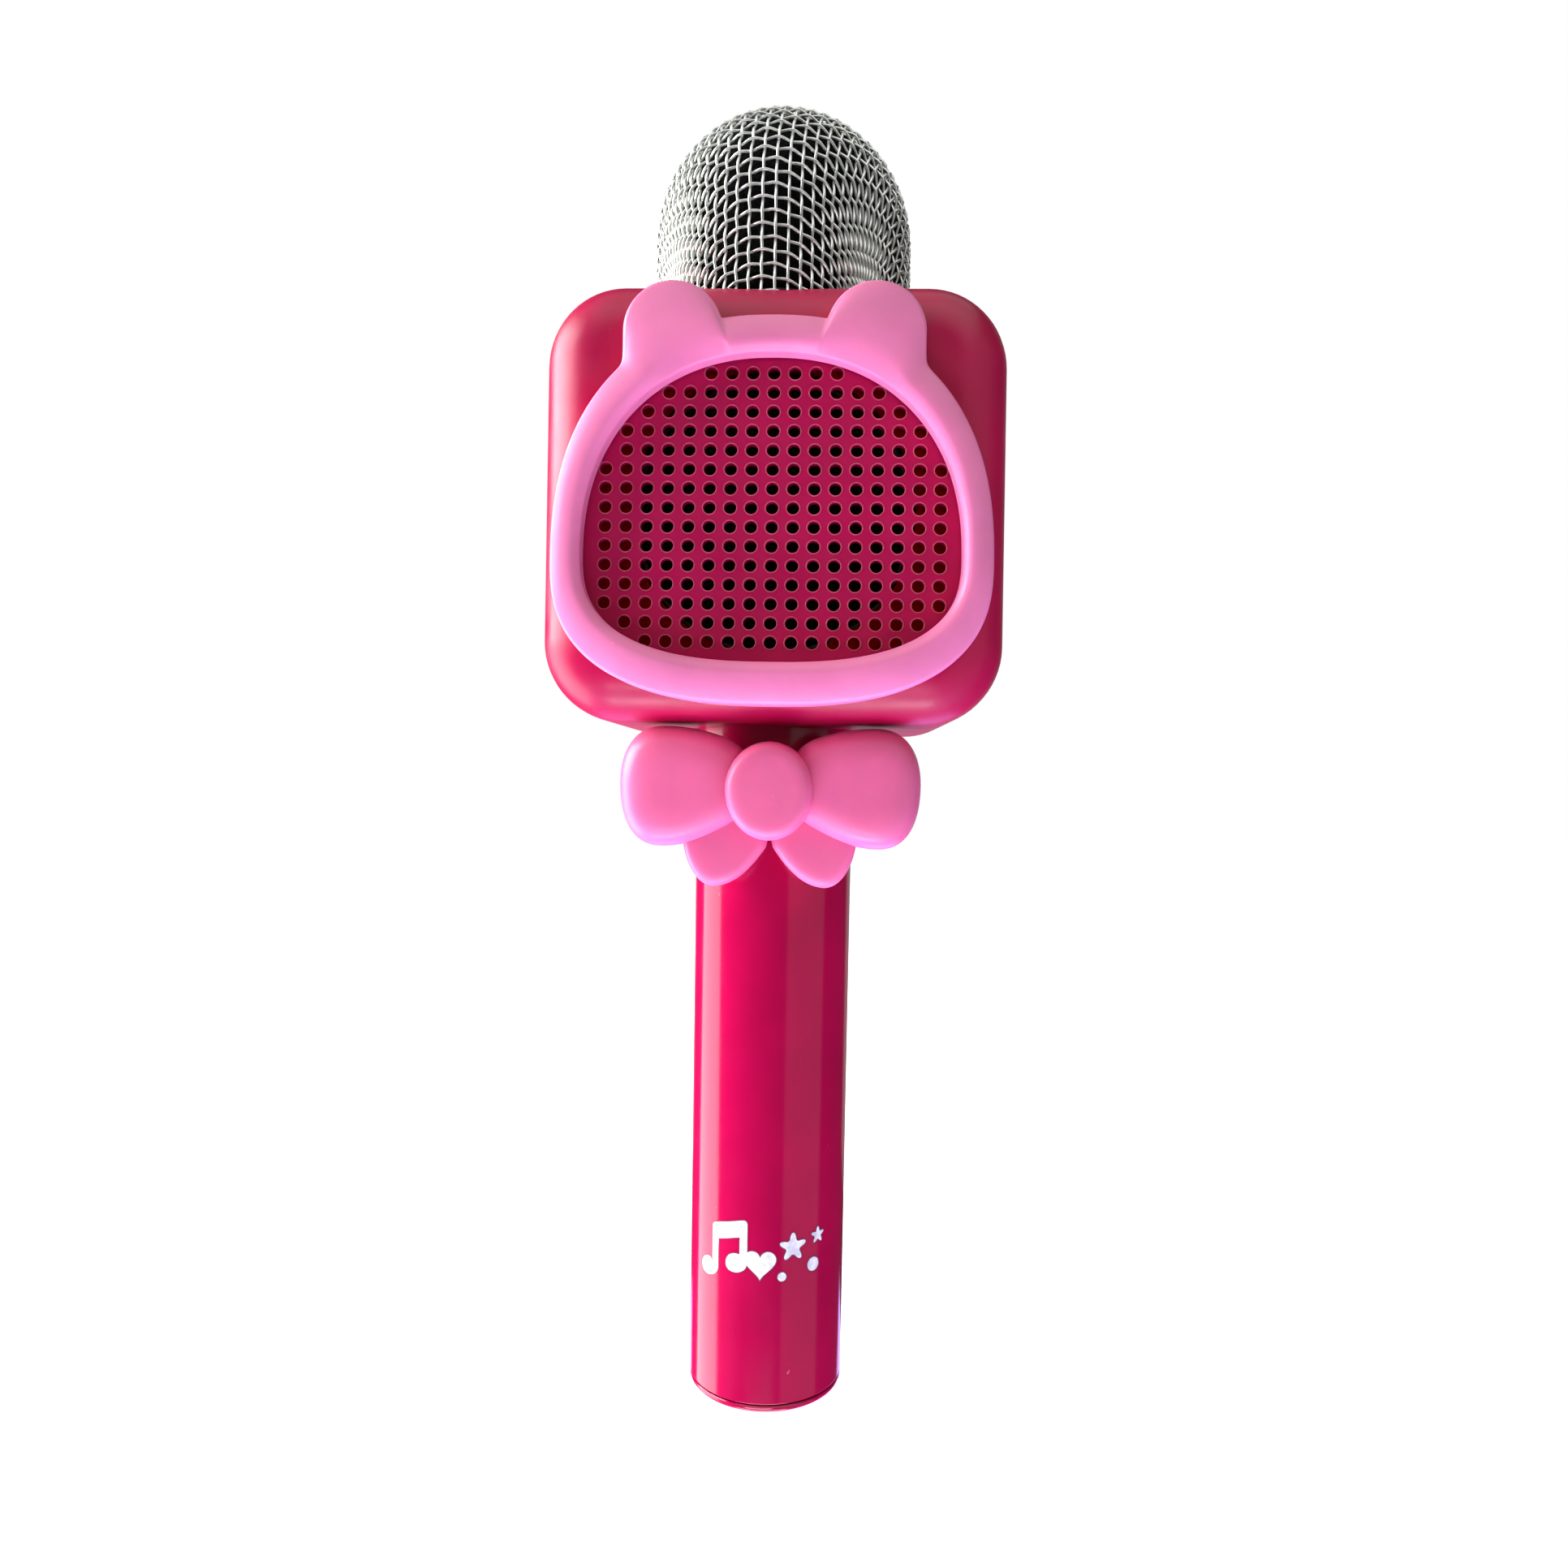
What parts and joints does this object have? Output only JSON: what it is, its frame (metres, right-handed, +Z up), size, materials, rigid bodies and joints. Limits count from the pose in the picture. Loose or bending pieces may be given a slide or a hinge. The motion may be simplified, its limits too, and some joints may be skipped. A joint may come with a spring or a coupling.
{
  "type": "toy microphone",
  "caption": "Toy karaoke microphone: woven-wire dome over a rounded square speaker head with an eared face ring, a bow at the neck and a round handle.",
  "frame": {"origin": "centre of the flat end face of the handle, on the floor it stands on", "axes": "+Z up the handle to the wire dome, -Y out of the speaker face, +X to the right of someone who looks at the speaker face"},
  "size_m": [0.08, 0.0642, 0.24],
  "materials": {
    "magenta_gloss": "glossy magenta casing plastic",
    "pink_gloss": "glossy light-pink moulded plastic",
    "wire_steel": "bright woven steel wire",
    "black_foam": "open-cell black foam",
    "black_plastic": "matt black moulded plastic",
    "plated_steel": "zinc-plated pressed steel",
    "speaker_paper": "black pressed paper pulp",
    "circuit_board": "green lacquered board",
    "battery_wrap": "blue shrink sleeve",
    "copper_wire": "enamelled copper winding",
    "lead_red": "red insulated lead",
    "lead_black": "black insulated lead",
    "lead_grey": "grey screened lead",
    "light_pipe": "milky light pipe",
    "printed_mark": "white pad print"
  },
  "bodies": {
    "casing": {"handle_tube": "magenta_gloss", "end_cap": "magenta_gloss", "front_shell": "magenta_gloss", "rear_shell": "magenta_gloss", "speaker_grille": "magenta_gloss", "face_ring": "pink_gloss", "bow": "pink_gloss", "bow_knot": "pink_gloss", "mesh_grille": "wire_steel", "foam_windscreen": "black_foam", "mesh_collar": "black_plastic", "capsule_holder": "black_foam", "mic_capsule": "plated_steel", "speaker_gasket": "black_foam", "speaker_basket": "plated_steel", "speaker_magnet": "plated_steel", "main_board": "circuit_board", "slide_switch": "plated_steel", "usb_socket": "plated_steel", "card_socket": "plated_steel", "control_panel": "pink_gloss", "status_led": "light_pipe", "battery_cell": "battery_wrap", "battery_collar_lower": "black_foam", "battery_collar_upper": "black_foam", "battery_lead_red": "lead_red", "battery_lead_black": "lead_black", "speaker_lead": "lead_black", "mic_lead": "lead_grey", "tact_switch_play": "black_plastic", "tact_switch_previous": "black_plastic", "tact_switch_next": "black_plastic", "tact_switch_light": "black_plastic", "tact_switch_voice": "black_plastic", "case_screw_1": "plated_steel", "board_screw_1": "plated_steel", "case_screw_2": "plated_steel", "board_screw_2": "plated_steel", "case_screw_3": "plated_steel", "board_screw_3": "plated_steel", "case_screw_4": "plated_steel", "board_screw_4": "plated_steel"},
    "key_play": {"button_play": "pink_gloss"},
    "key_previous": {"button_previous": "pink_gloss"},
    "key_next": {"button_next": "pink_gloss"},
    "key_light": {"button_light": "pink_gloss"},
    "key_voice": {"button_voice": "pink_gloss"},
    "slider": {"power_slider": "pink_gloss"},
    "cone": {"speaker_cone": "speaker_paper", "dust_cap": "speaker_paper", "voice_coil": "copper_wire"}
  },
  "joints": [
    {"name": "play_press", "type": "slide", "parent": "casing", "child": "key_play", "axis": [0, -1, 0], "range_m": [0, 0.0008], "stiffness_N_per_m": 250},
    {"name": "previous_press", "type": "slide", "parent": "casing", "child": "key_previous", "axis": [0, -1, 0], "range_m": [0, 0.0008], "stiffness_N_per_m": 250},
    {"name": "next_press", "type": "slide", "parent": "casing", "child": "key_next", "axis": [0, -1, 0], "range_m": [0, 0.0008], "stiffness_N_per_m": 250},
    {"name": "light_press", "type": "slide", "parent": "casing", "child": "key_light", "axis": [0, -1, 0], "range_m": [0, 0.0008], "stiffness_N_per_m": 250},
    {"name": "voice_press", "type": "slide", "parent": "casing", "child": "key_voice", "axis": [0, -1, 0], "range_m": [0, 0.0008], "stiffness_N_per_m": 250},
    {"name": "power_slide", "type": "slide", "parent": "casing", "child": "slider", "axis": [1, 0, 0], "range_m": [0, 0.004]},
    {"name": "cone_travel", "type": "slide", "parent": "casing", "child": "cone", "axis": [0, -1, 0], "range_m": [-0.0008, 0.0008], "stiffness_N_per_m": 400}
  ]
}
